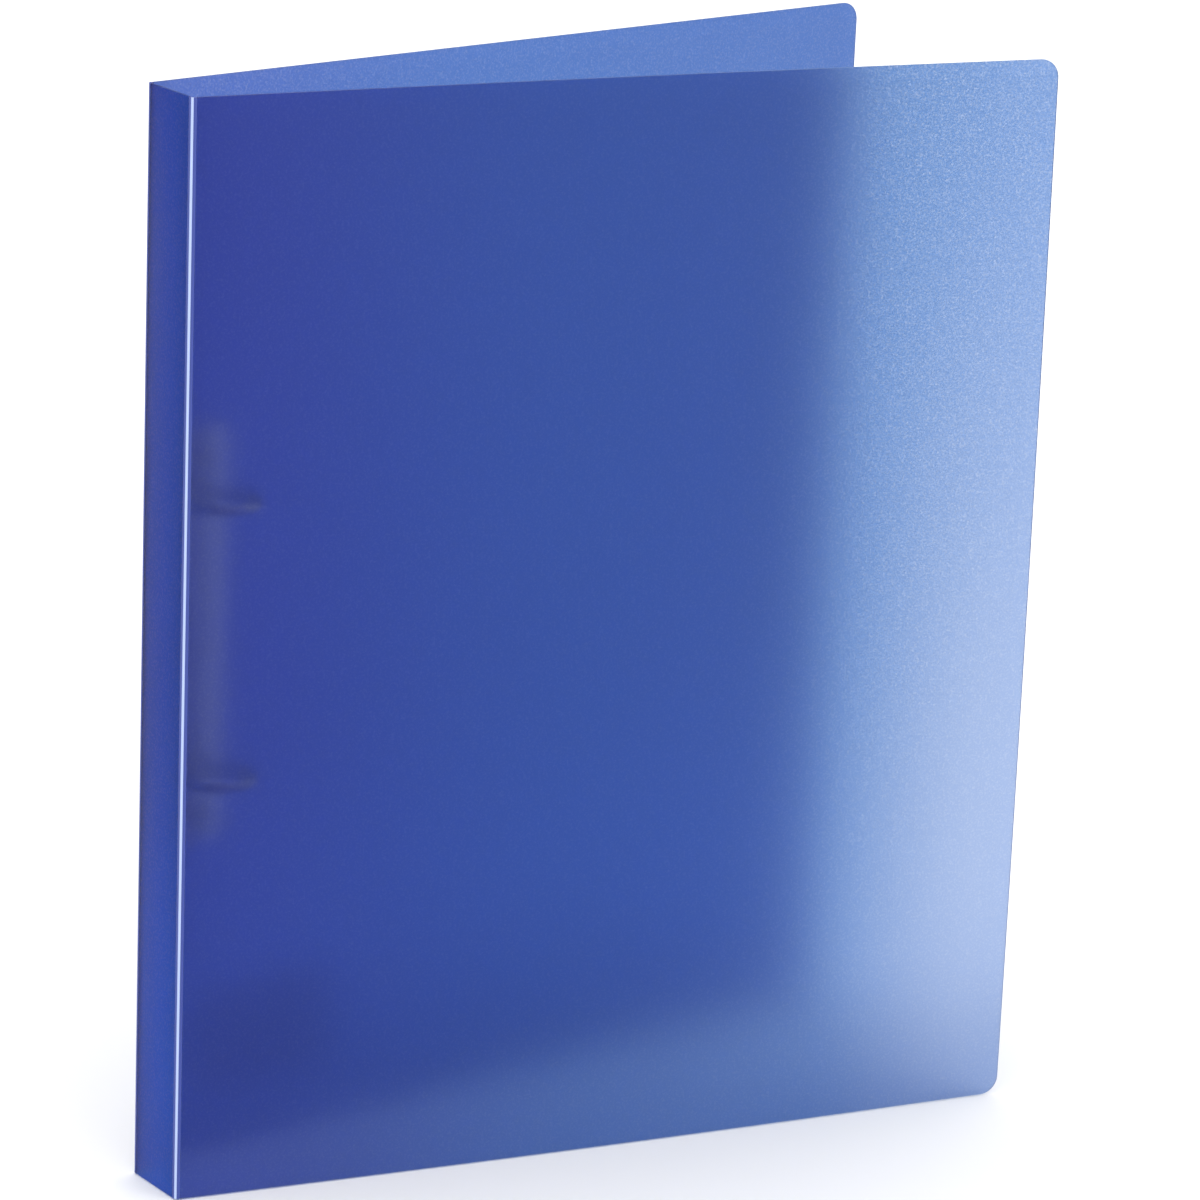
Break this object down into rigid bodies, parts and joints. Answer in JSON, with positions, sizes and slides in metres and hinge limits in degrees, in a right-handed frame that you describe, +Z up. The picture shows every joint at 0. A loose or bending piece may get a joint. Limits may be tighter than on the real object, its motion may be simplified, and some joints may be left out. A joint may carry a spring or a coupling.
{
  "type": "two-ring binder",
  "caption": "A4 ring binder in translucent blue plastic with a narrow spine, folding covers and a round-ring mechanism riveted inside the back cover, standing slightly open.",
  "frame": {"origin": "on the surface the binder stands on, at the middle of the spine panel's width and thickness", "axes": "+Z up along the spine, +X from the spine towards the covers' free edges, front cover on the -Y side and back cover on the +Y side"},
  "size_m": [0.2599, 0.1005, 0.315],
  "materials": {
    "blue_polypropylene": "translucent, fine matt grain",
    "nickel_plated_steel": "bright nickel plate",
    "white_paper": "plain uncoated paper"
  },
  "bodies": {
    "spine": {"spine_panel": "blue_polypropylene", "front_fold_web": "blue_polypropylene", "back_fold_web": "blue_polypropylene"},
    "front": {"front_cover": "blue_polypropylene"},
    "back": {"back_cover": "blue_polypropylene", "ring_housing": "nickel_plated_steel", "rivet_lower": "nickel_plated_steel", "rivet_upper": "nickel_plated_steel", "rivet_post_lower": "nickel_plated_steel", "rivet_post_upper": "nickel_plated_steel", "retail_label": "white_paper"},
    "spine_side_rings": {"carrier_blade_spine_side": "nickel_plated_steel", "ring_lower_spine_side": "nickel_plated_steel", "ring_upper_spine_side": "nickel_plated_steel"},
    "edge_side_rings": {"carrier_blade_edge_side": "nickel_plated_steel", "ring_lower_edge_side": "nickel_plated_steel", "ring_upper_edge_side": "nickel_plated_steel"}
  },
  "joints": [
    {"name": "front_fold", "type": "hinge", "parent": "spine", "child": "front", "pos_m": [0, -0.0115, 0], "axis": [0, 0, -1], "range_deg": [-10.7, 169.3]},
    {"name": "back_fold", "type": "hinge", "parent": "spine", "child": "back", "pos_m": [0, 0.0115, 0], "axis": [0, 0, 1], "range_deg": [-6.2, 173.8]},
    {"name": "rings_open", "type": "hinge", "parent": "back", "child": "spine_side_rings", "pos_m": [0.01437, 0.01115, 0.1575], "axis": [0, 0, -1], "range_deg": [0, 17]},
    {"name": "rings_open_edge_side", "type": "hinge", "parent": "back", "child": "edge_side_rings", "pos_m": [0.0258, 0.01239, 0.1575], "axis": [0, 0, 1], "range_deg": [0, 17]}
  ],
  "couplings": [
    {"joint": "rings_open_edge_side", "follows": "rings_open", "ratio": 1}
  ]
}
